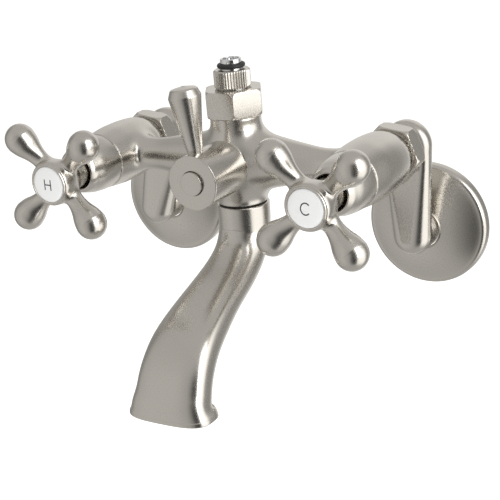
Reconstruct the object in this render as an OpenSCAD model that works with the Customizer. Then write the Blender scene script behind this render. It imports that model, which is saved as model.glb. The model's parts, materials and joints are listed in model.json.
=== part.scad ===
// Wall mounted bath faucet with cross handles, a shower riser outlet and swinging inlet arms.
// Millimetres. X runs towards the cold side, Y into the wall, Z up.
// Origin: on the wall, behind the middle of the body, level with the two valves.

/* [Body] */
// Distance between the two valve axes
valve_spacing = 152.4; // [145:0.1:160]
// Distance from the wall to the middle of the body
wall_reach = 73.5; // [70:0.5:85]
// Largest radius of a valve barrel
barrel_r = 16.5; // [16:0.1:18]
// Radius of the upper neck and the lower outlet of the body
neck_r = 13.6; // [13:0.1:14.5]

/* [Handles] */
// Distance from a handle's axis to the centre of each ball end
ball_reach = 30; // [28:0.5:32]
// Radius of each ball end
ball_r = 8.2; // [7.5:0.1:8.8]
// Radius of the porcelain index button
button_r = 9.85; // [9:0.05:10]
// Turn of the closed hot handle from a square cross
hot_handle_rest = -2; // [-10:1:10]
// Turn of the closed cold handle from a square cross
cold_handle_rest = -4; // [-10:1:10]

/* [Diverter] */
// Radius of the diverter knob
knob_r = 14.3; // [14:0.1:15]
// Length of the diverter knob
knob_len = 29.9; // [28:0.1:31]
// Lean of the diverter lever towards the hot side
lever_lean = 6; // [0:1:10]
// Height of the lever's top above the knob's axis
lever_top = 48.5; // [44:0.5:52]

/* [Spout] */
// Height of the spout's mouth below the valve axes
mouth_drop = 112; // [110:0.5:116]
// Distance of the mouth's centre in front of the body's axis
mouth_reach = 84; // [82:0.5:87]
// Width of the mouth
mouth_w = 48.6; // [46:0.2:50]
// Wall thickness of the spout
spout_wall = 2.6; // [2:0.1:3]

/* [Swing arms] */
// Distance from a valve's axis to its supply connection
arm_len = 51.6; // [50:0.1:58]
// Outward swing of the hot arm from straight down
hot_arm_swing = 18; // [0:1:25]
// Outward swing of the cold arm from straight down
cold_arm_swing = -1; // [-10:1:25]
// Radius of the supply shank in front of its thread
shank_r = 10.4; // [10:0.1:10.5]
// Radius of the wall escutcheon
escutcheon_r = 34.4; // [31:0.1:36]

/* [Hidden] */
$fn = 64;

nickel = [0.68, 0.66, 0.62];
raw_brass = [0.78, 0.64, 0.36];
bright_chrome = [0.86, 0.87, 0.88];
porcelain = [0.95, 0.95, 0.94];
black_rubber = [0.07, 0.07, 0.07];
alumina = [0.9, 0.88, 0.82];
bright_steel = [0.75, 0.75, 0.75];

valve_x = valve_spacing / 2;
tiny = 0.02;                 // overrun that keeps cuts clean
turn_gap = 0.06;             // radial clearance of a turning fit
thread_gap = 0.05;           // radial clearance between screwed parts
nut_gap = 0.08;              // the same inside the hexagon nuts
nut_flats = 28.6;            // width across flats of the hexagon nuts

// Stations along a valve axis, measured from the body's axis, positive into the wall
seam_y = -22.2;              // joint between barrel and bonnet
bonnet_lip_y = -43.8;
socket_end_y = 4;            // floor that the seat seal presses on
disc_y = -5;                 // plane where the two ceramic discs meet
disc_t = 4;
stem_step_y = -47;
stem_end_y = -58;
hub_back_y = -40;
button_front_y = -68.1;
shoulder_y = 19.5;           // where the barrel steps down to its threaded tail
tail_end_y = 28.6;
tail_r = 12.4;
socket_r = 11;               // bore that takes the cartridge
disc_r = 6.6;
stem_r = 5;
stem_end_r = 4;
stem_turn_y = -13;           // front of the cartridge's disc chamber

// Stations behind the body for the union and the swing arm
nut_front_y = 22.9;
nut_back_y = 33.2;
union_neck_r = 9.6;
union_nut_rest = 9;          // turn of the tightened nuts
arm_y = 47.6;                // plane of the arm's own waterway
arm_flange_y = 29.8;
face_y = 67;                 // an escutcheon's face at its rim
hub_face_y = 60.5;           // and at its hole
wall_y = wall_reach;
supply_start_y = 65;         // the supply thread behind the escutcheon
supply_end_y = wall_y + 12;
supply_r = shank_r + 0.2;
shank_bore_r = 7.2;

// Stations on the diverter axis
spigot_y = -16;              // flat that the knob turns in front of
spigot_bore_r = 9.5;
plug_r = 8.5;
diverter_stem_r = 4;
gland_r = 6;
spline_r = 3.4;              // stem end inside the knob
knob_back_y = -16.4;
knob_front_y = knob_back_y - knob_len;
knob_web_y = -36;
spline_end_y = knob_web_y - 3;
screw_seat_y = spline_end_y - 1;
cap_r = 6.2;
cap_front_y = knob_front_y - 1.5;
cap_back_y = knob_front_y + 4.2;
lever_y = -38.6;

// Heights on the body's vertical axis
outlet_z = -22.6;
collar_z = outlet_z - 0.9;
neck_top_z = 24.2;
thread_top_z = 33;
nut_top_z = 38.6;
collar_top_z = 48.4;
nipple_top_z = 53.9;
nipple_r = 5.55;
waterway_r = 7.5;
spout_thread_r = 9.6;

// ---------- helpers ----------
function arc(c, r, a0, a1, n = 6) =
    [for (i = [0:n]) c + r * [cos(a0 + (a1 - a0) * i / n), sin(a0 + (a1 - a0) * i / n)]];
function mix(a, b, t) = a + (b - a) * t;

// Moves children from the body's axis frame to the wall frame
module on_body() translate([0, -wall_reach, 0]) children();
// Puts children, drawn about +Z, on a valve's axis with +Z pointing into the wall
module on_valve(side) on_body() translate([side * valve_x, 0, 0]) rotate([-90, 0, 0]) children();
module on_diverter() on_body() rotate([-90, 0, 0]) children();
module turned(points, fn = $fn) rotate_extrude($fn = fn) polygon(points);
module rod(r, from, to) translate([0, 0, from]) cylinder(r = r, h = to - from);
module tube(r, bore, from, to) difference() {
    rod(r, from, to);
    rod(bore, from - tiny, to + tiny);
}
// Hexagon of the given width across flats with its corners turned down to corner_r
module hex_bar(flats, corner_r, from, to) intersection() {
    translate([0, 0, from]) cylinder(r = flats / 2 / cos(30), h = to - from, $fn = 6);
    turned([[0, from], [corner_r - 1.6, from], [corner_r, from + 1], [corner_r, to - 1],
            [corner_r - 1.6, to], [0, to]]);
}

// ---------- body ----------
module barrel_outside() turned([
    [0, seam_y], [15.1, seam_y], [15.9, -15], [16.4, -9], [barrel_r, -3], [barrel_r - 0.1, 4],
    [15.9, 11], [14.9, 16.5], [13.8, shoulder_y], [tail_r, shoulder_y + 1], [tail_r, tail_end_y],
    [0, tail_end_y]]);

module cross_arm_outside() rotate([0, 90, 0]) turned([
    [0, 0], [15.6, 0], [15.4, 12], [14.3, 19], [12.7, 27], [11.2, 35], [9.9, 42.5], [8.9, 50],
    [8.8, 54], [9.6, 59], [11.4, 63], [11.4, valve_x - 10], [0, valve_x - 10]]);

module column_outside() turned([
    [0, outlet_z], [neck_r - 0.2, outlet_z], [neck_r + 0.3, -20], [15.4, -16.5], [17, -12],
    [17.6, -5], [17.6, 2], [16.8, 9], [15.2, 13.6], [neck_r + 0.2, 18], [neck_r, neck_top_z],
    [tail_r, neck_top_z], [tail_r, thread_top_z], [0, thread_top_z]]);

module main_body() color(nickel) difference() {
    union() {
        on_body() column_outside();
        on_diverter() rod(13.2, spigot_y, 0);
        for (side = [-1, 1]) {
            on_valve(side) barrel_outside();
            on_body() scale([side, 1, 1]) cross_arm_outside();
        }
    }
    on_body() rod(waterway_r, outlet_z - tiny, thread_top_z + tiny);
    on_body() rod(spout_thread_r, outlet_z - tiny, -12);
    on_diverter() {
        rod(knob_r + 0.4, spigot_y - 4, spigot_y);
        rod(spigot_bore_r, spigot_y - tiny, -5);
        rod(plug_r, -5 - tiny, 9);
    }
    on_body() translate([-valve_x, -2.5, 0]) rotate([0, 90, 0]) rod(4.5, 0, valve_spacing);
    for (side = [-1, 1]) on_valve(side) {
        rod(socket_r, seam_y - tiny, socket_end_y);
        rod(6, 0, tail_end_y + tiny);
    }
}

module bonnet(side) color(nickel) on_valve(side) turned([
    [9.4, bonnet_lip_y + 0.6], [9.9, bonnet_lip_y], [10.7, bonnet_lip_y + 0.5], [12.6, -39.8],
    [13.8, -35.6], [14.6, -30.5], [14.9, -26], [14.9, seam_y - 0.4], [14.5, seam_y],
    [13, seam_y], [13, -30], [11.6, -35.5], [9.4, -39.6]]);

// ---------- valve works ----------
module cartridge(side) color(raw_brass) on_valve(side) difference() {
    union() {
        rod(8.4, -8, 3);
        rod(socket_r - thread_gap, seam_y, -8);
        hex_bar(21.5, 12, -27.5, seam_y);
        rod(7, -37, -27.5);
    }
    rod(stem_r + turn_gap, -37 - tiny, stem_turn_y);
    rod(disc_r, stem_turn_y - 1, 3 + tiny);
    translate([0, 0, -7]) rotate([0, 90, 0]) translate([0, 0, -9]) cylinder(r = 1.7, h = 18);
}

// A disc with two opposite quarter windows
module ceramic_disc(r, from, to, turn) difference() {
    rod(r, from, to);
    for (half = [0, 180]) rotate([0, 0, turn + half]) translate([0, 0, from - 1])
        linear_extrude(to - from + 2) intersection() {
            circle(r = r - 1.8);
            translate([0.9, 0.9]) square(r);
        }
}
module fixed_disc(side) color(alumina) on_valve(side)
    ceramic_disc(disc_r - thread_gap, disc_y, disc_y + disc_t, 0);
module moving_disc(side) color(porcelain) on_valve(side)
    ceramic_disc(disc_r - turn_gap, disc_y - disc_t, disc_y - 0.05, 90);
module seat_seal(side) color(black_rubber) on_valve(side)
    tube(disc_r - thread_gap, 4.8, disc_y + disc_t, socket_end_y);

module stem(side) color(raw_brass) on_valve(side) difference() {
    union() {
        rod(disc_r - turn_gap, stem_turn_y - 0.9, disc_y - disc_t);
        rod(stem_r, stem_step_y, stem_turn_y - 0.9);
        rod(stem_end_r, stem_end_y, stem_step_y);
    }
    rod(2, stem_end_y - tiny, -49);
}

// ---------- handles ----------
// One arm of the cross, drawn along +X from the hub's axis
module cross_lobe() rotate([0, 90, 0]) turned(concat(
    [[0, 6], [5, 6], [4.6, 14], [5.1, 18], [6.3, 22.5]],
    arc([0, ball_reach], ball_r, -35, 90, 10)));

module handle(side, rest) color(nickel) on_valve(side) rotate([0, 0, -rest]) difference() {
    union() {
        turned([[0, hub_back_y], [8.3, hub_back_y], [8.4, -48.5], [9.2, -52], [10.9, -56.5],
                [11.8, -60.5], [12, -64.5], [11.7, -66.4], [11, -67.3], [0, -67.3]]);
        for (quarter = [45:90:315]) rotate([0, 0, quarter]) translate([0, 0, -57])
            rotate([0, 8, 0]) cross_lobe();
    }
    rod(button_r + thread_gap, -68, -63.5);
    rod(4.2, -63.5 - tiny, -61);
    rod(2.2, -61 - tiny, stem_end_y);
    rod(stem_end_r + thread_gap, stem_end_y - tiny, stem_step_y);
    rod(stem_r + thread_gap, stem_step_y - tiny, hub_back_y + tiny);
}

module handle_screw(side) color(bright_steel) on_valve(side) difference() {
    union() {
        rod(3.6, -63.2, -61);
        rod(2 - thread_gap, -61, -50);
    }
    for (turn = [0, 90]) rotate([0, 0, turn]) translate([-2.2, -0.4, -63.3]) cube([4.4, 0.8, 1.3]);
}

module index_button(side) color(porcelain) on_valve(side) turned(concat(
    [[0, -63.5], [button_r, -63.5]], arc([button_r - 0.9, -66.7], 0.9, 0, -65, 4),
    [[6, button_front_y + 0.12], [0, button_front_y]]));

// ---------- diverter ----------
module diverter_bonnet() color(raw_brass) on_diverter() difference() {
    union() {
        rod(spigot_bore_r - thread_gap, spigot_y, -6);
        hex_bar(20, 11.3, -20.5, spigot_y);
        rod(7.5, -32, -20.5);
    }
    rod(diverter_stem_r + turn_gap, -32 - tiny, -6 + tiny);
    rod(gland_r, -10, -6 + tiny);
}
module diverter_gland_seal() color(black_rubber) on_diverter()
    tube(gland_r - thread_gap, diverter_stem_r + 0.3, -10, -6.4);
module diverter_stem() color(raw_brass) on_diverter() difference() {
    union() {
        rod(diverter_stem_r, knob_web_y, -4.5);
        rod(spline_r, spline_end_y, knob_web_y);
    }
    rod(1.6, spline_end_y - tiny, knob_web_y + 6);
}
module diverter_plug() color(raw_brass) on_diverter() difference() {
    rod(plug_r - turn_gap, -4.5, 8.5);
    rod(5.5, -1, 8.5 + tiny);
    for (turn = [0, 90, 180]) rotate([0, 0, turn]) translate([0, 0, 2.5]) rotate([0, 90, 0])
        cylinder(r = 3.8, h = 10);
}
module diverter_knob() color(nickel) on_diverter() difference() {
    turned([[0, knob_front_y], [knob_r - 0.7, knob_front_y], [knob_r, knob_front_y + 0.7],
            [knob_r, knob_back_y - 0.4], [knob_r - 0.4, knob_back_y], [0, knob_back_y]]);
    rod(12, knob_web_y, knob_back_y + tiny);
    rod(spline_r + thread_gap, spline_end_y, knob_web_y + tiny);
    rod(1.8, knob_front_y, knob_web_y);
    rod(3.3, knob_front_y, screw_seat_y);
    rod(cap_r + thread_gap, knob_front_y - tiny, cap_back_y);
    rotate([0, 0, -lever_lean]) translate([0, 0, lever_y]) rotate([90, 0, 0])
        rod(2.6, 7, knob_r + 1);
}
module lever_outside() turned(concat(
    [[0, 10], [3.9, 10], [4, 14.5], [8.4, lever_top - 5.4]],
    arc([6.9, lever_top - 5.2], 1.6, 0, 62, 4), [[4.4, lever_top - 1.1], [0, lever_top]]));
module diverter_lever() color(nickel) on_body() translate([0, lever_y, 0])
    rotate([0, -lever_lean, 0]) {
        difference() {
            lever_outside();
            rotate([90, 0, 0]) cylinder(r = knob_r + tiny, h = 40, center = true);
        }
        rod(2.6 - thread_gap, 7.2, knob_r + 0.6);
    }
module diverter_screw() color(bright_steel) on_diverter() difference() {
    union() {
        rod(3, cap_back_y + 0.2, screw_seat_y);
        rod(1.6 - thread_gap, screw_seat_y, knob_web_y + 5);
    }
    translate([-2, -0.35, cap_back_y + 0.1]) cube([4, 0.7, 1.1]);
}
module diverter_cap() color(nickel) on_diverter() turned([
    [0, cap_front_y], [cap_r - 0.4, cap_front_y], [cap_r, cap_front_y + 0.4],
    [cap_r, cap_back_y], [0, cap_back_y]]);

// ---------- spout ----------
// Each row: y and z of the section's centre, half width, half depth, squareness
spout_rows = [
    [0, collar_z, 14.3, 14.3, 2],
    [0, -32, 14.2, 14.2, 2],
    [-1.5, -41, 13.7, 13.2, 2.1],
    [-8.5, -51, 13.6, 11.6, 2.3],
    [-21, -58.5, 14.4, 10.2, 2.5],
    [-37.5, -65, 15.6, 9.4, 2.7],
    [-54, -72.5, 17.3, 9.7, 2.9],
    [-68.3, -81, 18.7, 10.4, 3],
    [-77.6, -91.5, 19.8, 10.5, 3.1],
    [-82.2, -101, 20.6, 10.7, 3.1],
    [-mouth_reach, -mouth_drop + 6.5, mouth_w / 2 - 2.3, 11.2, 3.1],
    [-mouth_reach, -mouth_drop + 2.5, mouth_w / 2 - 0.3, 12.3, 3.1],
    [-mouth_reach, -mouth_drop, mouth_w / 2, 12.5, 3.1]
];
spout_steps = 30;
spout_sides = 32;

// Catmull-Rom curve through the rows, with u counted in rows
function row_at(i) = i < 0 ? 2 * spout_rows[0] - spout_rows[1]
    : i >= len(spout_rows) ? 2 * spout_rows[len(spout_rows) - 1] - spout_rows[len(spout_rows) - 2]
    : spout_rows[i];
function row_curve(u) = let (
        i = min(floor(u), len(spout_rows) - 2), t = u - i,
        a = row_at(i - 1), b = row_at(i), c = row_at(i + 1), d = row_at(i + 2))
    0.5 * (2 * b + (c - a) * t + (2 * a - 5 * b + 4 * c - d) * t * t
        + (3 * b - a - 3 * c + d) * t * t * t);
function power_of(v, n) = sign(v) * pow(abs(v), 2 / n);
function spout_ring_points(u, inset) = let (
        row = row_curve(u), ahead = row_curve(u + 0.01) - row_curve(max(u - 0.01, 0)),
        along = [ahead[0], ahead[1]] / norm([ahead[0], ahead[1]]),
        across = [along[1], -along[0]])
    [for (k = [0:spout_sides - 1]) let (
            w = 360 * k / spout_sides,
            x = (row[2] - inset) * power_of(cos(w), row[4]),
            v = (row[3] - inset) * power_of(sin(w), row[4]))
        [x, row[0] + v * across[0], row[1] + v * across[1]]];
module spout_sweep(inset, from, to) {
    rings = [for (i = [0:spout_steps]) spout_ring_points(mix(from, to, i / spout_steps), inset)];
    polyhedron(
        points = [for (ring = rings) each ring],
        faces = concat(
            [[for (k = [0:spout_sides - 1]) k]],
            [for (i = [0:spout_steps - 1], k = [0:spout_sides - 1]) let (
                    a = i * spout_sides + k, b = i * spout_sides + (k + 1) % spout_sides)
                each [[a, a + spout_sides, b], [b, a + spout_sides, b + spout_sides]]],
            [[for (k = [spout_sides - 1:-1:0]) spout_steps * spout_sides + k]]));
}
module spout() color(nickel) on_body() difference() {
    spout_sweep(0, 0, len(spout_rows) - 1);
    spout_sweep(spout_wall, 1.6, len(spout_rows) - 0.9);
    rod(spout_thread_r, -36, collar_z + tiny);
}
module spout_nipple() color(raw_brass) on_body() tube(spout_thread_r - thread_gap, waterway_r, -34, -12.2);
module spout_ring() color(black_rubber) on_body() tube(13.1, spout_thread_r + 0.1, collar_z + 0.05, outlet_z);

// ---------- riser outlet ----------
module riser_nut() color(nickel) on_body() difference() {
    hex_bar(nut_flats, 16.2, neck_top_z + 0.3, nut_top_z);
    rod(tail_r + nut_gap, neck_top_z, nut_top_z - 3);
    rod(8.66, nut_top_z - 4, nut_top_z + tiny);
}
module riser_washer() color(black_rubber) on_body() tube(11.9, waterway_r, thread_top_z, thread_top_z + 1.2);
module riser_nipple() color(bright_chrome) on_body() difference() {
    turned([[0, 34.2], [12, 34.2], [12, 35.4], [8.6, 35.4], [8.6, 38.7], [7.6, 38.7], [7.6, 47.5],
            [nipple_r, 47.5], [nipple_r, 49.1], [5, 49.1], [5, 51.5], [nipple_r, 51.5],
            [nipple_r, nipple_top_z - 0.6], [nipple_r - 0.6, nipple_top_z], [0, nipple_top_z]]);
    rod(4.2, 34, nipple_top_z + tiny);
}
module riser_collar() color(nickel) on_body() difference() {
    translate([0, 0, 38.9]) linear_extrude(collar_top_z - 38.9) polygon(
        [for (i = [0:83]) (i % 2 == 0 ? 9.65 : 9.1) * [cos(i * 360 / 84), sin(i * 360 / 84)]]);
    rod(7.66, 38, 47.7);
    rod(nipple_r + turn_gap, 47, 49);
}
module riser_o_ring() color(black_rubber) on_body() translate([0, 0, 50.3])
    rotate_extrude() translate([6.2, 0]) circle(r = 1.19, $fn = 24);

// ---------- swing arms ----------
module union_nut(side) color(nickel) on_valve(side) difference() {
    rotate([0, 0, union_nut_rest]) hex_bar(nut_flats, 16, nut_front_y, nut_back_y);
    rod(tail_r + nut_gap, nut_front_y - tiny, nut_back_y - 2.2);
    turned([[0, nut_front_y - 0.1], [13.6, nut_front_y - 0.1], [tail_r, nut_front_y + 1.2],
            [0, nut_front_y + 1.2]]);
    rod(union_neck_r + turn_gap, nut_back_y - 3, nut_back_y + tiny);
}
module union_washer(side) color(black_rubber) on_valve(side)
    tube(11.9, 7, tail_end_y + 0.05, arm_flange_y);

head_r = 13.4;
foot_r = 10.6;
arm_front_y = 40.6;
arm_back_y = 53;
// Thick disc with rounded front and back rims, one for each end of the arm
module arm_disc(r, front, front_rim, back_rim) turned(concat([[0, front]],
    arc([r - front_rim, front + front_rim], front_rim, -90, 0),
    arc([r - back_rim, arm_back_y - back_rim], back_rim, 0, 90), [[0, arm_back_y]]), 48);
// Puts children, drawn hanging straight down from the valve's axis, at the arm's swing
module on_arm(side, swing) on_valve(side) rotate([0, 0, -side * swing]) children();
module swing_arm(side, swing) color(nickel) on_arm(side, swing) difference() {
    union() {
        rod(12, arm_flange_y, 30.9);
        rod(union_neck_r, 30, arm_y);
        rod(11.8, nut_back_y + 0.3, arm_y);
        hull() {
            arm_disc(head_r, arm_front_y, 3.5, 7.5);
            translate([0, arm_len, 0]) arm_disc(foot_r, arm_front_y + 0.4, 8, 3.5);
        }
        translate([0, arm_len, 0]) {
            rod(shank_r, arm_y + 2, supply_start_y);
            rod(supply_r, supply_start_y, supply_end_y);
        }
    }
    rod(6.2, arm_flange_y - tiny, arm_y + 2);
    translate([0, 0, arm_y]) rotate([-90, 0, 0]) rod(4.2, 0, arm_len);
    translate([0, arm_len, 0]) rod(shank_bore_r, arm_y - 1, supply_end_y + tiny);
}
module escutcheon(side, swing) color(nickel) on_arm(side, swing) translate([0, arm_len, 0])
    turned(concat(
        [[shank_r + 0.35, hub_face_y], [shank_r + 1.4, hub_face_y - 0.3]],
        arc([escutcheon_r - 3, face_y + 3], 3, -84, -8),
        [[escutcheon_r, wall_y], [escutcheon_r - 1.8, wall_y]],
        arc([escutcheon_r - 3.8, face_y + 3.8], 2, -8, -84),
        [[shank_r + 1.4, hub_face_y + 1.5], [shank_r + 0.35, hub_face_y + 1.5]]));

main_body();
bonnet(-1);  // hot_bonnet
bonnet(1);  // cold_bonnet
cartridge(-1);  // hot_cartridge
cartridge(1);  // cold_cartridge
fixed_disc(-1);  // hot_fixed_disc
fixed_disc(1);  // cold_fixed_disc
seat_seal(-1);  // hot_seat_seal
seat_seal(1);  // cold_seat_seal
stem(-1);  // hot_stem
stem(1);  // cold_stem
moving_disc(-1);  // hot_moving_disc
moving_disc(1);  // cold_moving_disc
handle(-1, hot_handle_rest);  // hot_handle
handle(1, cold_handle_rest);  // cold_handle
handle_screw(-1);  // hot_handle_screw
handle_screw(1);  // cold_handle_screw
index_button(-1);  // hot_index_button
index_button(1);  // cold_index_button
diverter_bonnet();
diverter_gland_seal();
diverter_stem();
diverter_plug();
diverter_knob();
diverter_lever();
diverter_screw();
diverter_cap();
spout();
spout_nipple();
spout_ring();
riser_nut();
riser_washer();
riser_nipple();
riser_collar();
riser_o_ring();
union_nut(-1);  // hot_union_nut
union_nut(1);  // cold_union_nut
union_washer(-1);  // hot_union_washer
union_washer(1);  // cold_union_washer
swing_arm(-1, hot_arm_swing);  // hot_swing_arm
swing_arm(1, cold_arm_swing);  // cold_swing_arm
escutcheon(-1, hot_arm_swing);  // hot_escutcheon
escutcheon(1, cold_arm_swing);  // cold_escutcheon
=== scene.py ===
"""Wall mounted bath faucet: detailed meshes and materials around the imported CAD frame.

Shapes are worked out in millimetres in a body frame whose axes run with the CAD frame: X towards
the cold side, Y into the wall, Z up, with its origin where the faucet's three axes meet.
"""
import json
import math

import bmesh
import bpy
import numpy as np
from mathutils import Matrix, Vector


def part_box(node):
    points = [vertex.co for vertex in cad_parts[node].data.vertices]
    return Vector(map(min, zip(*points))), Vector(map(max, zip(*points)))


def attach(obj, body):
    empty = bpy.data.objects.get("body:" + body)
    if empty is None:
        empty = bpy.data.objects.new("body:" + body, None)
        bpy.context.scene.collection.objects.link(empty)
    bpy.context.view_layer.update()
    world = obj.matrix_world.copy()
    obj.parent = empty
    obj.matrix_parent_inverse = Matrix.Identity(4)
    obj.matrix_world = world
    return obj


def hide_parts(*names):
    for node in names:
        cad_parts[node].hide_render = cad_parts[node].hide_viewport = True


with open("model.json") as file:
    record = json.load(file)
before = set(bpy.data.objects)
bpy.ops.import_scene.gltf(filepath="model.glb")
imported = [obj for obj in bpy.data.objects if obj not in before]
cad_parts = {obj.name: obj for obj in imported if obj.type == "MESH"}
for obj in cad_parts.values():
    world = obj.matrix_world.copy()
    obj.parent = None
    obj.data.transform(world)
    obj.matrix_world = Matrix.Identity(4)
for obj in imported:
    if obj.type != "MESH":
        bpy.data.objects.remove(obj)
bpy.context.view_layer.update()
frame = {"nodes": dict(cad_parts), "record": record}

MM = 0.001


def middle(node):
    low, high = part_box(node)
    return (low + high) / 2 / MM


BODY_Y = middle("riser_collar").y
VALVE_X = middle("cold_bonnet").x


# ---------------------------------------------------------------- placing
def on_body(points):
    return points + np.array([0.0, BODY_Y, 0.0])


def on_axis(side, turn=0.0):
    """Puts points drawn about +Z on a valve's axis (side -1 or 1) or the diverter's (0)."""
    cos, sin = math.cos(turn), math.sin(turn)

    def place(points):
        x, y, z = points.T
        turned = np.column_stack([cos * x - sin * y, z, -sin * x - cos * y])
        return on_body(turned + np.array([side * VALVE_X, 0.0, 0.0]))
    return place


def arm_rest(side):
    """Length of a swing arm in millimetres, and its outward swing from straight down."""
    name = "hot_supply" if side < 0 else "cold_supply"
    mount = next(m for m in frame["record"]["mounts"] if m["name"] == name)
    across = mount["pos_m"][0] / MM - side * VALVE_X
    down = -mount["pos_m"][2] / MM
    return math.hypot(across, down), math.atan2(side * across, down)


# ---------------------------------------------------------------- curves and fields
def spline(*knots):
    """Natural cubic spline through (place, value) knots, level beyond its ends."""
    x, y = np.array(knots, float).T
    step = np.diff(x)
    system = np.eye(len(x))
    right = np.zeros(len(x))
    for i in range(1, len(x) - 1):
        system[i, i - 1:i + 2] = step[i - 1], 2 * (step[i - 1] + step[i]), step[i]
        right[i] = 6 * ((y[i + 1] - y[i]) / step[i] - (y[i] - y[i - 1]) / step[i - 1])
    bend = np.linalg.solve(system, right)

    def at(t):
        t = np.clip(t, x[0], x[-1])
        i = np.clip(np.searchsorted(x, t) - 1, 0, len(x) - 2)
        a, b = (x[i + 1] - t) / step[i], (t - x[i]) / step[i]
        cubic = ((a ** 3 - a) * bend[i] + (b ** 3 - b) * bend[i + 1]) * step[i] ** 2 / 6
        return a * y[i] + b * y[i + 1] + cubic
    return at


def join(a, b, blend):
    """Union of two distance fields with a fillet about as wide as blend."""
    near = np.maximum(blend - np.abs(a - b), 0) / blend
    return np.minimum(a, b) - near ** 3 * blend / 6


def meet(a, b, blend):
    """Intersection of two distance fields with a rounded edge."""
    return -join(-a, -b, blend)


def rod(x, y, z, radius, low, high, edge=0.6):
    """Distance field of a round bar about Z."""
    return meet(np.hypot(x, y) - radius, np.maximum(low - z, z - high), edge)


def swelling(along, across, radius_at):
    """Distance field of an endless turned bar whose radius changes along its axis."""
    slope = (radius_at(along + 0.05) - radius_at(along - 0.05)) / 0.1
    return (across - radius_at(along)) / np.sqrt(1 + slope ** 2)


def gradient(field, spots, step=0.02):
    """Unit slope of a distance field at the given points."""
    slope = np.stack([field(*(spots + step * axis).T) - field(*(spots - step * axis).T)
                      for axis in np.eye(3)], 1)
    return slope / np.maximum(np.linalg.norm(slope, axis=1, keepdims=True), 1e-9)


def crossings(field, value, low, cell, k):
    """Where the field changes sign along axis k: grid corners, exact spots and which way."""
    near, far = [slice(None)] * 3, [slice(None)] * 3
    near[k], far[k] = slice(0, -1), slice(1, None)
    a, b = value[tuple(near)], value[tuple(far)]
    start = np.argwhere((a < 0) != (b < 0))
    others = [axis for axis in range(3) if axis != k]
    start = start[np.all(start[:, others] > 0, axis=1)
                  & np.all(start[:, others] < np.array(value.shape)[others] - 1, axis=1)]
    va, vb = a[tuple(start.T)], b[tuple(start.T)]
    leaving = va < 0
    first = low + cell * start
    step = cell * np.eye(3)[k]
    t0, t1 = np.zeros(len(start)), np.ones(len(start))
    for _ in range(4):
        t = t0 + (t1 - t0) * np.clip(va / (va - vb), 0.05, 0.95)
        vt = field(*(first + t[:, None] * step).T)
        same = (vt < 0) == leaving
        t0, va = np.where(same, t, t0), np.where(same, vt, va)
        t1, vb = np.where(same, t1, t), np.where(same, vb, vt)
    t = t0 + (t1 - t0) * va / (va - vb)
    return start, first + t[:, None] * step, leaving


def contour(field, low, high, cell):
    """Closed mesh of the surface where field is zero, by dual contouring, so edges stay crisp."""
    low, high = np.array(low, float), np.array(high, float)
    count = np.ceil((high - low) / cell).astype(int) + 1
    value = field(*np.meshgrid(*(low[k] + cell * np.arange(count[k]) for k in range(3)),
                               indexing="ij"))
    cells = count - 1
    quads, spots = [], []
    for k in range(3):
        start, spot, leaving = crossings(field, value, low, cell, k)
        u, v = np.eye(3, dtype=int)[[axis for axis in range(3) if axis != k]]
        ring = [start - u - v, start - v, start, start - u]
        ids = np.stack([np.ravel_multi_index(corner.T, cells) for corner in ring], 1)
        quads.append(np.where((leaving == (k != 1))[:, None], ids, ids[:, ::-1]))
        spots.append(spot)
    quads, spots = np.vstack(quads), np.vstack(spots)
    normal = gradient(field, spots)
    used, index = np.unique(quads.ravel(), return_inverse=True)
    index = index.reshape(quads.shape)

    def gathered(values):
        return sum(np.bincount(index[:, c], values, len(used)) for c in range(4))
    number = gathered(np.ones(len(spots)))
    mean = np.stack([gathered(spots[:, i]) for i in range(3)], 1) / number[:, None]
    distance = np.sum(normal * spots, axis=1)
    pull = 0.02
    matrix = np.empty((len(used), 3, 3))
    for i in range(3):
        for j in range(3):
            matrix[:, i, j] = gathered(normal[:, i] * normal[:, j]) + pull * (i == j)
    right = np.stack([gathered(normal[:, i] * distance) for i in range(3)], 1) + pull * mean
    verts = np.linalg.solve(matrix, right[:, :, None])[:, :, 0]
    corner = low + cell * np.stack(np.unravel_index(used, cells), 1)
    verts = np.clip(verts, corner, corner + cell)
    verts -= gradient(field, verts) * np.clip(field(*verts.T), -cell, cell)[:, None]
    return verts, index.tolist()


# ---------------------------------------------------------------- direct meshes
def filleted(corners, steps=6, loop=False):
    """Polyline of (radius, height) corners, each rounded by its third value where it has one."""
    points = [np.array(c[:2], float) for c in corners]
    out = []
    for i, corner in enumerate(corners):
        size = corner[2] if len(corner) > 2 else 0
        if not size or (not loop and i in (0, len(corners) - 1)):
            out.append(points[i])
            continue
        back = points[i - 1] - points[i]
        ahead = points[(i + 1) % len(points)] - points[i]
        back, ahead = back / np.linalg.norm(back), ahead / np.linalg.norm(ahead)
        half = math.acos(max(-1.0, min(1.0, float(back @ ahead)))) / 2
        towards = (back + ahead) / np.linalg.norm(back + ahead)
        centre = points[i] + towards * size / math.sin(half)
        run = size / math.tan(half)
        a, b = points[i] + back * run - centre, points[i] + ahead * run - centre
        sweep = math.pi - 2 * half
        for t in np.linspace(0, 1, steps):
            out.append(centre + (a * math.sin((1 - t) * sweep) + b * math.sin(t * sweep))
                       / math.sin(sweep))
    return np.array(out)


def grid_faces(rows, columns, loop=False):
    """Quads between rows of points that each close on themselves."""
    faces = []
    for i in range(rows if loop else rows - 1):
        a, b = i * columns, (i + 1) % rows * columns
        for k in range(columns):
            n = (k + 1) % columns
            faces.append([a + k, a + n, b + n, b + k])
    return faces


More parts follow.
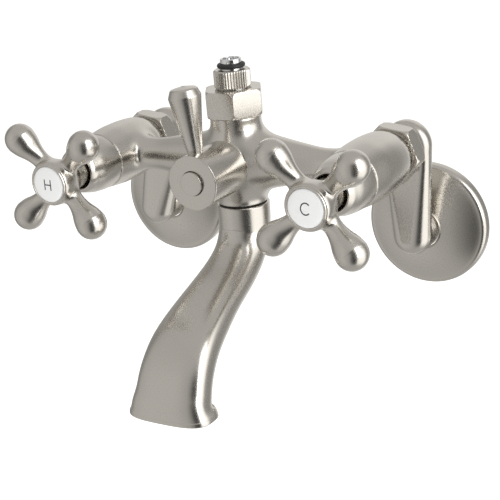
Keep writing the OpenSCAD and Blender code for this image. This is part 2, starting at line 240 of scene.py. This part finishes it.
def lathe(profile, turns=144):
    """Turned solid, from a profile that starts and ends on the axis, or a ring from a loop."""
    profile = np.array(profile, float)
    solid = profile[0][0] < 1e-6 and profile[-1][0] < 1e-6
    angle = np.linspace(0, 2 * math.pi, turns, endpoint=False)
    rows = profile[1:-1] if solid else profile
    verts = np.concatenate([np.column_stack([r * np.cos(angle), r * np.sin(angle),
                                             np.full(turns, z)]) for r, z in rows])
    faces = grid_faces(len(rows), turns, loop=not solid)
    if solid:
        ends, last = len(verts), (len(rows) - 1) * turns
        verts = np.vstack([verts, [[0, 0, profile[0][1]], [0, 0, profile[-1][1]]]])
        for k in range(turns):
            n = (k + 1) % turns
            faces += [[ends, n, k], [ends + 1, last + k, last + n]]
    return verts, faces


def threaded(radius, bore, low, high, pitch, depth, turns=96):
    """Tube with a fine thread cut on its outside, tapering out at both ends."""
    angle = np.linspace(0, 2 * math.pi, turns, endpoint=False)
    stations = np.linspace(low, high, int((high - low) / pitch * 8))
    rows = [np.column_stack([bore * np.cos(angle), bore * np.sin(angle),
                             np.full(turns, z)]) for z in (high, low)]
    for z in stations:
        wave = 0.5 - 0.5 * np.cos(2 * math.pi * z / pitch - angle)
        fade = min(1.0, (z - low) / pitch, (high - z) / pitch)
        r = radius - depth * (1 - fade + fade * wave ** 1.5)
        rows.append(np.column_stack([r * np.cos(angle), r * np.sin(angle), np.full(turns, z)]))
    return np.concatenate(rows), grid_faces(len(rows), turns, loop=True)


def piece(name, shape, place, body, material, nodes=(), sharp=32):
    """Makes an object of a (points, faces) shape, which rides on its body."""
    verts, faces = shape
    mesh = bpy.data.meshes.new(name)
    mesh.from_pydata((place(np.array(verts, float)) * MM).tolist(), [], faces)
    work = bmesh.new()
    work.from_mesh(mesh)
    bmesh.ops.recalc_face_normals(work, faces=work.faces)
    work.to_mesh(mesh)
    work.free()
    mesh.shade_smooth()
    mesh.set_sharp_from_angle(angle=math.radians(sharp))
    mesh.materials.append(MATERIALS[material])
    made = bpy.data.objects.new(name, mesh)
    bpy.context.scene.collection.objects.link(made)
    if nodes:
        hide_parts(*nodes)
    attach(made, body)
    return made


# ---------------------------------------------------------------- materials
def linked(tree, kind, inputs, **settings):
    """Adds a shader node and fills its inputs with values or other nodes' outputs."""
    made = tree.nodes.new(kind)
    for key, value in settings.items():
        setattr(made, key, value)
    for key, value in inputs.items():
        if isinstance(value, bpy.types.NodeSocket):
            tree.links.new(value, made.inputs[key])
        else:
            made.inputs[key].default_value = value
    return made


def mixed(tree, factor, a, b, **settings):
    """Colour between a and b, where each of the three is a value or another node's output."""
    made = linked(tree, "ShaderNodeMix", {}, data_type="RGBA", **settings)
    sockets = [made.inputs["Factor"]] + [s for s in made.inputs if s.type == "RGBA"]
    for socket, value in zip(sockets, (factor, a, b)):
        if isinstance(value, bpy.types.NodeSocket):
            tree.links.new(value, socket)
        else:
            socket.default_value = value
    return next(s for s in made.outputs if s.type == "RGBA")


def surface(name, light, dark, rough, metallic=0.0, grain=0.1, scale=900.0, stretch=(1, 1, 1),
            **fixed):
    """Material whose colour, gloss and fine relief vary with noise in the piece's own frame."""
    made = bpy.data.materials.new(name)
    made.use_nodes = True
    tree = made.node_tree
    shader = tree.nodes["Principled BSDF"]
    where = linked(tree, "ShaderNodeTexCoord", {}).outputs["Object"]
    where = linked(tree, "ShaderNodeMapping", {"Vector": where, "Scale": stretch}).outputs[0]
    broad = linked(tree, "ShaderNodeTexNoise", {"Vector": where, "Scale": 38.0, "Detail": 3.0})
    fine = linked(tree, "ShaderNodeTexNoise", {"Vector": where, "Scale": scale, "Detail": 4.0})
    tone = mixed(tree, broad.outputs[0], (*dark, 1), (*light, 1))
    tree.links.new(tone, shader.inputs["Base Color"])
    gloss = linked(tree, "ShaderNodeMapRange", {"Value": fine.outputs[0], "From Min": 0.3,
                                                "From Max": 0.7, "To Min": rough[0],
                                                "To Max": rough[1]})
    tree.links.new(gloss.outputs[0], shader.inputs["Roughness"])
    relief = linked(tree, "ShaderNodeBump", {"Height": fine.outputs[0], "Strength": grain,
                                             "Distance": 0.00004})
    tree.links.new(relief.outputs[0], shader.inputs["Normal"])
    shader.inputs["Metallic"].default_value = metallic
    for key, value in fixed.items():
        shader.inputs[key.replace("_", " ")].default_value = value
    return made


MATERIALS = {
    "nickel": surface("nickel", (0.70, 0.67, 0.625), (0.63, 0.605, 0.565), (0.2, 0.29), 1.0,
                      grain=0.05, scale=2600.0, stretch=(1, 1, 0.25)),
    "chrome": surface("chrome", (0.86, 0.87, 0.88), (0.82, 0.83, 0.84), (0.05, 0.09), 1.0,
                      grain=0.03),
    "brass": surface("brass", (0.78, 0.62, 0.34), (0.68, 0.52, 0.27), (0.22, 0.34), 1.0,
                     grain=0.3, scale=1800.0, stretch=(1, 0.3, 1)),
    "steel": surface("steel", (0.66, 0.66, 0.67), (0.58, 0.58, 0.59), (0.25, 0.36), 1.0,
                     grain=0.2, scale=2200.0),
    "porcelain": surface("porcelain", (0.93, 0.935, 0.94), (0.90, 0.905, 0.91), (0.06, 0.1),
                         grain=0.02, scale=300.0, Coat_Weight=0.6, Coat_Roughness=0.04),
    "ink": surface("ink", (0.02, 0.02, 0.025), (0.012, 0.012, 0.015), (0.2, 0.3), grain=0.05),
    "rubber": surface("rubber", (0.022, 0.022, 0.023), (0.012, 0.012, 0.013), (0.45, 0.6),
                      grain=0.3, scale=1500.0),
    "ceramic": surface("ceramic", (0.86, 0.84, 0.78), (0.82, 0.8, 0.74), (0.25, 0.35),
                       grain=0.05, scale=1200.0),
}


# ---------------------------------------------------------------- body
NECK = spline((-22.6, 13.4), (-20, 13.9), (-16.5, 15.4), (-12, 17), (-5, 17.6), (2, 17.6),
              (9, 16.8), (13.6, 15.2), (18, 13.8), (24.2, 13.6))
CROSS = spline((0, 15.6), (12, 15.4), (19, 14.3), (27, 12.7), (35, 11.2), (42.5, 9.9),
               (50, 8.9), (56, 8.8), (70, 8.8))
BARREL = spline((-22.2, 15.1), (-15, 15.9), (-9, 16.4), (-3, 16.5), (4, 16.4), (11, 15.9),
                (16.5, 14.9), (19.5, 13.7))

FOOT, CROWN = -22.6, 24.2
BARREL_FRONT, BARREL_BACK = -22.2, 19.5
THREAD = 12.4


def casting(x, y, z):
    """Main body: column, cross arms and valve barrels in one piece, with its waterways."""
    side = np.abs(x)
    round_z = np.hypot(x, y)
    column = meet(swelling(z, round_z, NECK), np.maximum(FOOT - z, z - CROWN), 0.8)
    seat = meet(np.hypot(x, z) - 13.2, np.maximum(-16 - y, y), 0.6)
    arms = np.maximum(swelling(side, np.hypot(y, z), CROSS), side - VALVE_X)
    off = np.hypot(side - VALVE_X, z)
    barrel = meet(swelling(y, off, BARREL), np.maximum(BARREL_FRONT - y, y - BARREL_BACK), 0.7)
    tail = rod(side - VALVE_X, z, y, THREAD, 0, 28.6, 0.8)
    solid = join(join(join(column, arms, 9), barrel, 8), seat, 1)
    solid = join(solid, np.minimum(tail, rod(x, y, z, THREAD, 0, 33, 0.8)), 0.3)
    socket = rod(side - VALVE_X, z, y, 11, -24, 4)
    bores = np.minimum(np.minimum(socket, rod(side - VALVE_X, z, y, 6, 0, 30)),
                       np.minimum(round_z - 7.5, rod(x, y, z, 9.6, -24, -12)))
    tunnel = np.maximum(np.hypot(y + 2.5, z) - 4.5, side - VALVE_X)
    spigot = np.minimum(rod(x, z, y, 9.5, -20, -5), rod(x, z, y, 8.5, -6, 9))
    faced = rod(x, z, y, 14.7, -20, -16, 0.2)
    return meet(solid, -np.minimum(np.minimum(bores, tunnel), np.minimum(spigot, faced)), 0.5)


piece("body", contour(casting, (-95, -24, -25), (95, 31, 35), 0.68), on_body, "faucet_body",
      "nickel", ("main_body",), sharp=50)


# ---------------------------------------------------------------- valves
DOME = spline((-43.3, 10.8), (-42.6, 11.4), (-39.8, 12.6), (-35.6, 13.8), (-30.5, 14.6),
              (-26, 14.9), (-22.8, 14.9))
BONNET = filleted([(9.4, -43.2), (9.9, -43.8, 0.2), (10.5, -43.7, 0.3)]
                  + [(float(DOME(z)), z) for z in np.linspace(-43.2, -22.8, 36)]
                  + [(14.5, -22.25), (13, -22.25), (13, -30), (11.6, -35.5), (9.4, -39.6)],
                  loop=True)

LOBE = spline((3, 6.6), (8, 5.6), (13, 4.75), (17, 4.95), (21, 6.0), (25, 7.45), (30, 8.2))
HUB = spline((-68, 10.9), (-66.2, 11.75), (-64.5, 12), (-60.5, 11.8), (-56.5, 10.8),
             (-52, 9.2), (-48.5, 8.45), (-44, 8.3), (-40, 8.3))
LEAN = math.radians(8)
BALL, BALL_REACH, ARM_LEVEL = 8.2, 30, -57


def cross(x, y, z):
    """Cross handle, drawn square with its ball ends on the diagonals."""
    radius = np.hypot(x, y)
    solid = meet(swelling(z, radius, HUB), np.maximum(-67.3 - z, z + 40), 0.8)
    for quarter in range(4):
        turn = math.radians(45 + 90 * quarter)
        u = math.cos(turn) * x + math.sin(turn) * y
        v = -math.sin(turn) * x + math.cos(turn) * y
        along = u * math.cos(LEAN) - (z - ARM_LEVEL) * math.sin(LEAN)
        across = np.hypot(v, u * math.sin(LEAN) + (z - ARM_LEVEL) * math.cos(LEAN))
        neck = meet(swelling(along, across, LOBE), np.maximum(2 - along, along - BALL_REACH),
                    0.5)
        ball = np.hypot(along - BALL_REACH, across) - BALL
        solid = join(solid, join(neck, ball, 0.6), 3.6)
    bores = np.minimum(rod(x, y, z, 9.95, -70, -63.5, 0.3), rod(x, y, z, 4.2, -64, -61))
    bores = np.minimum(bores, rod(x, y, z, 4.05, -60, -47))
    return meet(solid, -np.minimum(bores, rod(x, y, z, 5.05, -47, -38)), 0.45)


BUTTON_TOP = -68.1


def button_face(radius):
    """Height of a button's face at a radius."""
    return BUTTON_TOP + 0.12 * (radius / 6) ** 2


BUTTON = filleted([(0, BUTTON_TOP)] + [(r, button_face(r)) for r in (2, 4, 6, 8)]
                  + [(9.75, -67.55, 0.9), (9.8, -63.5), (0, -63.5)])
BEZEL = filleted([(9.6, -67.0), (9.95, -67.75, 0.15), (10.55, -67.8, 0.25), (10.9, -67.2, 0.2),
                  (10.6, -66.5), (9.6, -66.5)], loop=True)


def strokes(lines, width=0.62):
    """Thin flat strokes lying on a button's face."""
    verts, faces = [], []
    for line in lines:
        line = np.array(line, float)
        ahead = np.gradient(line, axis=0)
        ahead /= np.linalg.norm(ahead, axis=1, keepdims=True)
        across = np.column_stack([-ahead[:, 1], ahead[:, 0]]) * width / 2
        first = len(verts)
        for p, q in zip(line, across):
            for edge in (p - q, p + q):
                face = button_face(np.hypot(*edge))
                verts += [(*edge, face - 0.03), (*edge, face + 0.05)]
        for i in range(len(line) - 1):
            a = first + 4 * i
            b = a + 4
            faces += [[a, a + 2, b + 2, b], [a + 1, b + 1, b + 3, a + 3],
                      [a, b, b + 1, a + 1], [a + 2, a + 3, b + 3, b + 2]]
        last = first + 4 * (len(line) - 1)
        faces += [[first, first + 1, first + 3, first + 2],
                  [last, last + 2, last + 3, last + 1]]
    return verts, faces


ARC = [(0.3 + 2.5 * math.cos(t), -2.9 * math.sin(t))
       for t in np.linspace(math.radians(42), math.radians(318), 40)]
MARKS = {-1: [[(-1.9, -2.9), (-1.9, 0), (-1.9, 2.9)], [(1.9, -2.9), (1.9, 0), (1.9, 2.9)],
              [(-1.6, 0), (0, 0), (1.6, 0)]],
         1: [ARC]}

for side, word, rest in ((-1, "hot", 2.0), (1, "cold", 4.0)):
    handle = word + "_valve_handle"
    turned = on_axis(side, math.radians(rest))
    piece(word + "_front", lathe(BONNET), on_axis(side), "faucet_body", "nickel",
          (word + "_bonnet",))
    piece(word + "_cross", contour(cross, (-36, -36, -71), (36, 36, -38), 0.55), turned, handle,
          "nickel", (word + "_handle",), sharp=60)
    piece(word + "_porcelain", lathe(BUTTON, 160), turned, handle, "porcelain",
          (word + "_index_button",))
    piece(word + "_bezel", lathe(BEZEL, 160), turned, handle, "nickel")
    piece(word + "_mark", strokes(MARKS[side]), turned, handle, "ink")


# ---------------------------------------------------------------- diverter
KNOB = filleted([(6.25, -42.1), (6.25, -45.7), (6.55, -46.3, 0.2), (14.3, -46.3, 0.6),
                 (14.3, -16.4, 0.4), (12, -16.4, 0.2), (12, -36), (3.45, -36), (3.45, -39),
                 (1.8, -39), (1.8, -40), (3.3, -40), (3.3, -42.1)], loop=True)
CAP = filleted([(0, -47.8), (6.15, -47.8, 0.35), (6.15, -42.1, 0.2), (0, -42.1)])
LEVER = filleted([(0, 12.6), (3.95, 12.6), (4.05, 14.6, 3), (8.5, 43.1, 1.6), (6.9, 47.0, 1.6),
                  (0, 48.4)], steps=12)
LEVER_LEAN = math.radians(6)
LEVER_DEPTH = 38.6


def on_lever(points):
    """Puts points drawn about +Z on the axis of the leaning lever."""
    x, y, z = points.T
    cos, sin = math.cos(LEVER_LEAN), math.sin(LEVER_LEAN)
    return on_body(np.column_stack([cos * x - sin * z, y - LEVER_DEPTH, sin * x + cos * z]))


piece("diverter_barrel", lathe(KNOB, 200), on_axis(0), "diverter", "nickel", ("diverter_knob",))
piece("diverter_plug_cap", lathe(CAP), on_axis(0), "diverter", "nickel", ("diverter_cap",))
piece("diverter_handle", lathe(LEVER), on_lever, "diverter", "nickel", ("diverter_lever",),
      sharp=40)


# ---------------------------------------------------------------- spout
ROWS = np.array([
    (0, -23.5, 14.3, 14.3, 2), (0, -32, 14.2, 14.2, 2), (-1.5, -41, 13.7, 13.2, 2.1),
    (-8.5, -51, 13.6, 11.6, 2.3), (-21, -58.5, 14.4, 10.2, 2.5), (-37.5, -65, 15.6, 9.4, 2.7),
    (-54, -72.5, 17.3, 9.7, 2.9), (-68.3, -81, 18.7, 10.4, 3), (-77.6, -91.5, 19.8, 10.5, 3.1),
    (-82.2, -101, 20.6, 10.7, 3.1), (-84, -105.5, 22, 11.2, 3.1), (-84, -109.5, 24, 12.3, 3.1),
    (-84, -112, 24.3, 12.5, 3.1)])
MOUTH = len(ROWS) - 1


def row_at(u):
    """Section of the spout at u rows along it, on the same curve as the frame's."""
    ends = np.vstack([2 * ROWS[0] - ROWS[1], ROWS, 2 * ROWS[-1] - ROWS[-2]])
    i = int(min(max(math.floor(u), 0), MOUTH - 1))
    t = u - i
    a, b, c, d = ends[i:i + 4]
    return 0.5 * (2 * b + (c - a) * t + (2 * a - 5 * b + 4 * c - d) * t * t
                  + (3 * b - a - 3 * c + d) * t ** 3)


def section(u, inset, sides):
    """Points around the spout at u, evenly spaced along the section's outline."""
    spread = min(0.35, u, MOUTH - u)
    row = np.mean([row_at(u + d) for d in np.linspace(-spread, spread, 7)], axis=0)
    ahead = (row_at(u + 0.01) - row_at(max(u - 0.01, 0)))[:2]
    ahead /= np.linalg.norm(ahead)
    w = np.linspace(0, 2 * math.pi, 1441)
    x = (row[2] - inset) * np.sign(np.cos(w)) * np.abs(np.cos(w)) ** (2 / row[4])
    v = (row[3] - inset) * np.sign(np.sin(w)) * np.abs(np.sin(w)) ** (2 / row[4])
    run = np.concatenate([[0], np.cumsum(np.hypot(np.diff(x), np.diff(v)))])
    even = np.linspace(0, run[-1], sides, endpoint=False)
    x, v = np.interp(even, run, x), np.interp(even, run, v)
    return np.column_stack([x, row[0] + v * ahead[1], row[1] - v * ahead[0]])


def spout_shell(sides=160, wall=2.6, rim=0.8):
    """Outside of the spout, its rounded rim, and its channel back up to the round inlet."""
    rings = [section(0, 0.6, sides), section(0.02, 0.2, sides), section(0.06, 0, sides)]
    rings += [section(u, 0, sides) for u in np.linspace(0.1, MOUTH - 0.34, 150)]
    for t in np.linspace(0, math.pi / 2, 7):
        rings.append(section(MOUTH - 0.32 * (1 - math.sin(t)), rim * (1 - math.cos(t)), sides))
    for t in np.linspace(math.pi / 2, 0, 5):
        rings.append(section(MOUTH - 0.2 * (1 - math.sin(t)), wall - 0.5 * (1 - math.cos(t)),
                             sides))
    rings += [section(u, wall, sides) for u in np.linspace(MOUTH - 0.25, 1.6, 60)]
    round_ring = section(0, 4.7, sides)
    rings += [round_ring + (0, 0, z - ROWS[0][1]) for z in (-36, -30, ROWS[0][1])]
    return np.concatenate(rings), grid_faces(len(rings), sides, loop=True)


RING = filleted([(9.75, -23.45), (12.9, -23.45, 0.3), (13.1, -22.65, 0.3), (9.75, -22.65)],
                loop=True)
piece("tub_spout", spout_shell(), on_body, "faucet_body", "nickel", ("spout",), sharp=50)
piece("gap_ring", lathe(RING), on_body, "faucet_body", "rubber", ("spout_ring",))


# ---------------------------------------------------------------- riser outlet
def nut(flats, corner, low, high, bores):
    """Distance field of a hexagon nut with turned-down corners."""
    def field(x, y, z):
        faces = np.max([np.abs(math.cos(t) * x + math.sin(t) * y) - flats / 2
                        for t in (math.pi / 6, math.pi / 2, 5 * math.pi / 6)], axis=0)
        radius = np.hypot(x, y)
        bevel = (radius - corner + 0.55 * (np.abs(z - (low + high) / 2) - (high - low) / 2 + 1.2))
        solid = meet(meet(faces, np.maximum(low - z, z - high), 0.5), bevel / 1.14, 0.5)
        return meet(solid, -np.min([rod(x, y, z, r, a, b, 0.3) for r, a, b in bores], axis=0),
                    0.4)
    return field


def knurled(teeth=42, low=38.9, high=48.4, outer=9.65, bore=7.66):
    """Thumb collar with a straight knurl between two chamfers."""
    profile = [(bore, low), (8.7, low), (9.0, low + 0.2), (9.5, low + 0.7), (9.65, low + 0.9)]
    profile += [(9.65, z) for z in np.linspace(low + 1.1, high - 1.1, 6)]
    profile += [(9.65, high - 0.9), (9.5, high - 0.7), (9.0, high - 0.2), (8.7, high),
                (5.65, high), (5.65, 47.6), (bore, 47.6)]
    columns = teeth * 8
    angle = np.linspace(0, 2 * math.pi, columns, endpoint=False)
    wave = (0.5 - 0.5 * np.cos(angle * teeth)) ** 0.8
    rings = []
    for r, z in profile:
        depth = 0.5 * max(0.0, min(1.0, (r - 9.0) / 0.5))
        radius = np.full(columns, r) - depth * wave * (r / outer)
        rings.append(np.column_stack([radius * np.cos(angle), radius * np.sin(angle),
                                      np.full(columns, z)]))
    return np.concatenate(rings), grid_faces(len(rings), columns, loop=True)


NIPPLE = filleted([(4.2, 34.2), (12, 34.2, 0.2), (12, 35.4, 0.2), (8.6, 35.4), (8.6, 38.7, 0.3),
                   (7.6, 38.7), (7.6, 47.5, 0.3), (5.55, 47.5), (5.55, 49.1, 0.1), (5, 49.1),
                   (5, 51.5), (5.55, 51.5, 0.1), (5.55, 53.9, 0.5), (4.2, 53.9, 0.25)], loop=True)
O_RING = [(6.2 + 1.19 * math.cos(t), 50.3 + 1.19 * math.sin(t))
          for t in np.linspace(0, 2 * math.pi, 24, endpoint=False)]
piece("riser_hex", contour(nut(28.6, 16.2, 24.5, 38.6, ((12.48, 23, 35.6), (8.66, 34, 40))),
                           (-18, -18, 23.5), (18, 18, 39.6), 0.4), on_body, "riser_union",
      "nickel", ("riser_nut",), sharp=50)
piece("riser_tube", lathe(NIPPLE), on_body, "faucet_body", "chrome", ("riser_nipple",))
piece("thumb_collar", knurled(), on_body, "riser_thumb_collar", "nickel", ("riser_collar",))
piece("tube_seal", lathe(O_RING), on_body, "faucet_body", "rubber", ("riser_o_ring",))


# ---------------------------------------------------------------- supply arms
SUPPLY_RADIUS, SUPPLY_BORE, SUPPLY_PITCH = 10.6, 7.2, 1.814


def mix(a, b, t):
    """Value a share t of the way from a to b."""
    return a + (b - a) * t


def swing_arm(length):
    """Distance field of a swing arm, drawn along +Y from its union to its supply shank."""
    def field(x, y, z):
        t = np.clip((y - 0.054 * np.abs(x)) / length, 0, 1)
        spread = np.hypot(x, y - t * length)
        front_rim, back_rim = mix(3.5, 8, t), mix(7.5, 3.5, t)
        front, back = mix(40.6, 41, t), 53
        before = z < mix(44.8, 49.25, t)
        rim = np.where(before, front_rim, back_rim)
        p = spread - mix(13.4, 10.6, t) + rim
        q = np.where(before, front + front_rim - z, z - back + back_rim)
        solid = np.minimum(np.maximum(p, q), 0) + np.hypot(np.maximum(p, 0), np.maximum(q, 0))
        solid = join(solid - rim, rod(x, y, z, 11.8, 33.5, 47, 0.6), 2.5)
        solid = np.minimum(solid, np.minimum(rod(x, y, z, 9.6, 30, 47),
                                             rod(x, y, z, 12, 29.8, 30.9, 0.3)))
        down = y - length
        solid = join(solid, rod(x, down, z, 10.4, 48, 65, 0.4), 1.2)
        bores = np.minimum(rod(x, y, z, 6.2, 28, 49.6),
                           rod(x, down, z, SUPPLY_BORE, 46.6, 67))
        way = np.maximum(np.hypot(x, z - 47.6) - 4.2, np.maximum(-y, down))
        return meet(solid, -np.minimum(bores, way), 0.5)
    return field


def wall_plate():
    """Profile of a wall plate about its shank."""
    outer = [(10.75, 60.55), (11.8, 60.2)]
    outer += [(r, 60.2 + 6.8 * t - 0.7 * math.sin(math.pi * t))
              for r, t in zip(np.linspace(13, 31, 14), np.linspace(0.06, 0.97, 14))]
    outer += [(31.4 + 3 * math.cos(t), 70 + 3 * math.sin(t))
              for t in np.radians(np.linspace(-80, -8, 14))]
    inner = [(30.6 + 2 * math.cos(t), 70.8 + 2 * math.sin(t))
             for t in np.radians(np.linspace(-8, -84, 8))]
    return outer + [(34.4, 73.5), (32.6, 73.5)] + inner + [(11.8, 62), (10.75, 62)]


for side, word in ((-1, "hot"), (1, "cold")):
    length, swing = arm_rest(side)
    hanging = on_axis(side, -side * swing)

    def at_shank(points, place=hanging, drop=length):
        return place(points + np.array([0.0, drop, 0.0]))
    piece(word + "_supply_arm", contour(swing_arm(length), (-16, -16, 28.5), (16, 65, 66.5), 0.5),
          hanging, word + "_arm", "nickel", (word + "_swing_arm",), sharp=50)
    piece(word + "_supply_thread",
          threaded(SUPPLY_RADIUS, SUPPLY_BORE, 65, 85.5, SUPPLY_PITCH, 0.9), at_shank,
          word + "_arm", "nickel", sharp=70)
    piece(word + "_hex", contour(nut(28.6, 16, 22.9, 33.2, ((12.48, 20, 31), (9.66, 29, 35))),
                                 (-18, -18, 22), (18, 18, 34.2), 0.42),
          on_axis(side, math.radians(9)), word + "_union", "nickel", (word + "_union_nut",),
          sharp=50)
    piece(word + "_plate", lathe(wall_plate(), 200), at_shank, word + "_wall_plate", "nickel",
          (word + "_escutcheon",), sharp=25)


# ---------------------------------------------------------------- inner frame pieces
FINISHES = {"satin_nickel": "nickel", "bright_chrome": "chrome", "raw_brass": "brass",
            "bright_steel": "steel", "porcelain": "porcelain", "black_rubber": "rubber",
            "alumina": "ceramic"}
for part in frame["record"]["subparts"]:
    node = frame["nodes"][part["node"]]
    if not node.hide_render:
        node.data.materials.clear()
        node.data.materials.append(MATERIALS[FINISHES[part["material_slot"]]])
        node.data.shade_smooth()
        node.data.set_sharp_from_angle(angle=math.radians(32))


# ---------------------------------------------------------------- studio
bpy.context.scene.view_settings.view_transform = "Standard"


def softbox(name, spot, aim, size, power, mirrored=True):
    """Rectangular light of a size and a power in watts, which shows in the metal if mirrored."""
    data = bpy.data.lights.new(name, "AREA")
    data.shape, data.size, data.size_y = "RECTANGLE", *size
    data.energy = power
    made = bpy.data.objects.new(name, data)
    bpy.context.scene.collection.objects.link(made)
    made.location = spot
    made.rotation_euler = (Vector(aim) - Vector(spot)).to_track_quat("-Z", "Y").to_euler()
    made.visible_glossy = mirrored


def ramp_of(tree, value, stops, low, high):
    """Grey level that follows (place, level) stops over the given range of a value."""
    spread = linked(tree, "ShaderNodeMapRange", {"Value": value, "From Min": low,
                                                 "From Max": high})
    made = linked(tree, "ShaderNodeValToRGB", {"Fac": spread.outputs[0]})
    ramp = made.color_ramp
    ramp.interpolation = "EASE"
    for place, level in stops[1:-1]:
        ramp.elements.new((place - low) / (high - low))
    for element, (place, level) in zip(ramp.elements, stops):
        element.position = (place - low) / (high - low)
        element.color = (level, level, level, 1)
    return made.outputs[0]


# Brightness of the surroundings by bearing in degrees, from the front towards the right, by
# the height of a direction, and the share that the height has in it.
AROUND = ((-180, 0.9), (-150, 0.8), (-120, 0.4), (-95, 0.3), (-70, 0.55), (-35, 0.62), (0, 0.5),
          (15, 0.3), (28, 0.07), (55, 0.05), (66, 1.5), (115, 1.5), (130, 0.45), (150, 0.3),
          (180, 0.9))
RISE = ((-1, 0.5), (0, 0.5), (1, 0.55))
RISE_SHARE = ((-1, 1), (-0.95, 1), (-0.6, 0), (0.4, 0), (0.8, 1), (1, 1))
WARMTH = (1.0, 0.985, 0.955, 1)
PAPER = (0.95, 0.95, 0.95, 1)


def studio_world():
    """Soft surroundings with a bright screen on the right and darker ones beside it."""
    world = bpy.data.worlds.new("studio")
    world.use_nodes = True
    bpy.context.scene.world = world
    tree = world.node_tree
    way = linked(tree, "ShaderNodeTexCoord", {}).outputs["Generated"]
    axes = linked(tree, "ShaderNodeSeparateXYZ", {"Vector": way}).outputs
    front = linked(tree, "ShaderNodeMath", {0: axes[1], 1: -1.0}, operation="MULTIPLY")
    bearing = linked(tree, "ShaderNodeMath", {0: axes[0], 1: front.outputs[0]},
                     operation="ARCTAN2")
    degrees = linked(tree, "ShaderNodeMath", {0: bearing.outputs[0], 1: 180 / math.pi},
                     operation="MULTIPLY")
    around = ramp_of(tree, degrees.outputs[0], AROUND, -180, 180)
    rise = ramp_of(tree, axes[2], RISE, -1, 1)
    share = ramp_of(tree, axes[2], RISE_SHARE, -1, 1)
    level = mixed(tree, share, around, rise)
    warm = mixed(tree, 1.0, level, WARMTH, blend_type="MULTIPLY")
    seen = linked(tree, "ShaderNodeLightPath", {}).outputs["Is Camera Ray"]
    tree.links.new(mixed(tree, seen, warm, PAPER), tree.nodes["Background"].inputs["Color"])


studio_world()
softbox("right", (1.2, -0.35, 0.5), (0, -0.08, -0.02), (0.8, 1.4), 8)
softbox("top", (-0.2, 0.2, 1.4), (0, -0.05, 0), (1.6, 1.2), 10, mirrored=False)

FLOOR_SIZE, FLOOR_HEIGHT = 24, -0.45
bpy.ops.mesh.primitive_plane_add(size=FLOOR_SIZE, location=(0, 0, FLOOR_HEIGHT))
floor = bpy.context.object
floor.name = "floor"
floor.visible_glossy = False
floor.data.materials.append(surface("floor_paint", (0.92, 0.92, 0.92), (0.9, 0.9, 0.9),
                                    (0.8, 0.9), grain=0.0, scale=40.0,
                                    Emission_Color=(1, 1, 1, 1), Emission_Strength=0.5))


# ---------------------------------------------------------------- camera
def studio_camera(azimuth, elevation, roll, across, up, distance, lens, shift):
    """Camera that looks along a bearing, set sideways of the body's middle in millimetres."""
    a, e, r = (math.radians(v) for v in (azimuth, elevation, roll))
    back = Vector((math.sin(a) * math.cos(e), -math.cos(a) * math.cos(e), math.sin(e)))
    level = Vector((math.cos(a), math.sin(a), 0))
    rise = back.cross(level)
    right = math.cos(r) * level + math.sin(r) * rise
    top = -math.sin(r) * level + math.cos(r) * rise
    spot = (back * distance - right * across - top * up + Vector((0, BODY_Y, 0))) * MM
    data = bpy.data.cameras.new("camera")
    data.lens, data.shift_x, data.shift_y = lens, *shift
    data.dof.use_dof = False
    camera = bpy.data.objects.new("camera", data)
    bpy.context.scene.collection.objects.link(camera)
    turn = Matrix((right, top, back)).transposed().to_4x4()
    camera.matrix_world = Matrix.Translation(spot) @ turn
    bpy.context.scene.camera = camera


studio_camera(azimuth=34.71, elevation=21.01, roll=-5.91, across=20.87, up=74.89,
              distance=708.43, lens=96.12, shift=(0.1, 0.1))
